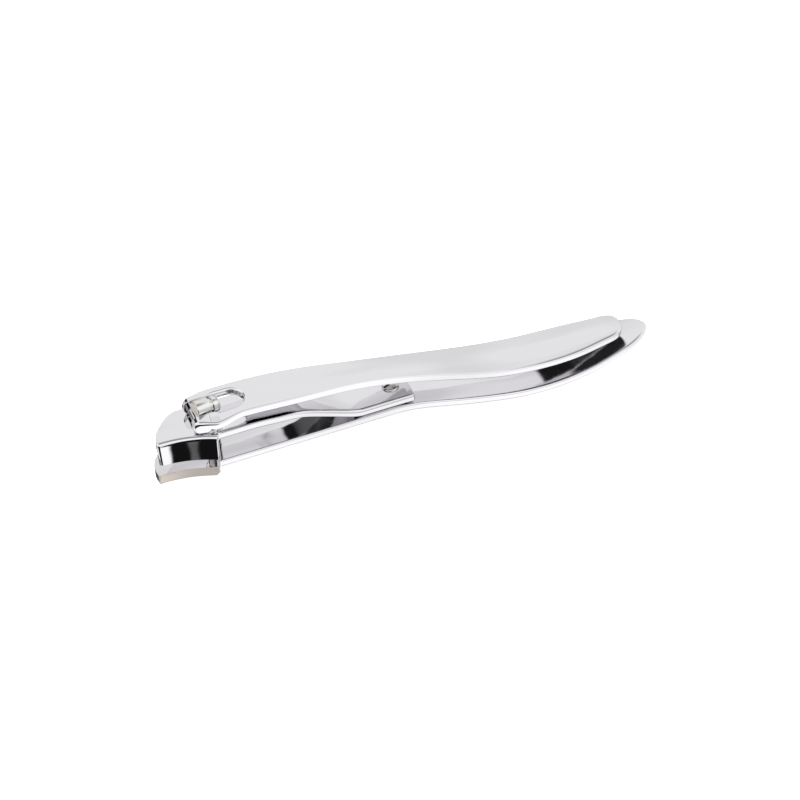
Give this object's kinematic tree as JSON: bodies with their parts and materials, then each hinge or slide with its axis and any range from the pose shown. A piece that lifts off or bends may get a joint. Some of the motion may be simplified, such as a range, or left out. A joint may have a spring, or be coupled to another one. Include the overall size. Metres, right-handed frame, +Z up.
{
  "type": "lever nail clipper",
  "caption": "Chromed compound-lever nail clipper with a slanted side-cutting jaw, an S-curved handle, a slotted folding lever and a hooked post.",
  "frame": {"origin": "centre of the footprint on the surface the folded clipper lies on", "axes": "+Z up, +X along the clipper from the jaw to the tail, -Y the side the cutting edge is on"},
  "size_m": [0.0862, 0.0096, 0.0128],
  "materials": {
    "arm_chrome": "polished chrome plate",
    "lever_chrome": "polished chrome plate",
    "rivet_steel": "polished nickel-plated rivet",
    "post_steel": "turned and polished nickel-plated post"
  },
  "bodies": {
    "lower_arm": {"lower_arm": "arm_chrome"},
    "upper_arm": {"upper_arm": "arm_chrome", "joint_rivet": "rivet_steel"},
    "post": {"post": "post_steel"},
    "lever": {"lever": "lever_chrome"}
  },
  "joints": [
    {"name": "jaw_flex", "type": "hinge", "parent": "lower_arm", "child": "upper_arm", "pos_m": [-0.00964, 0.00056, 0.00403], "axis": [0, -1, 0], "range_deg": [0, 3.3], "stiffness_Nm_per_rad": 6},
    {"name": "post_swivel", "type": "hinge", "parent": "lower_arm", "child": "post", "pos_m": [-0.03256, 0.00056, 0.00127], "axis": [-0.0636, 0, 0.998], "continuous": true},
    {"name": "lever_lift", "type": "hinge", "parent": "post", "child": "lever", "pos_m": [-0.03547, 0.00056, 0.0099], "axis": [0, -1, 0], "range_deg": [0, 165]}
  ]
}
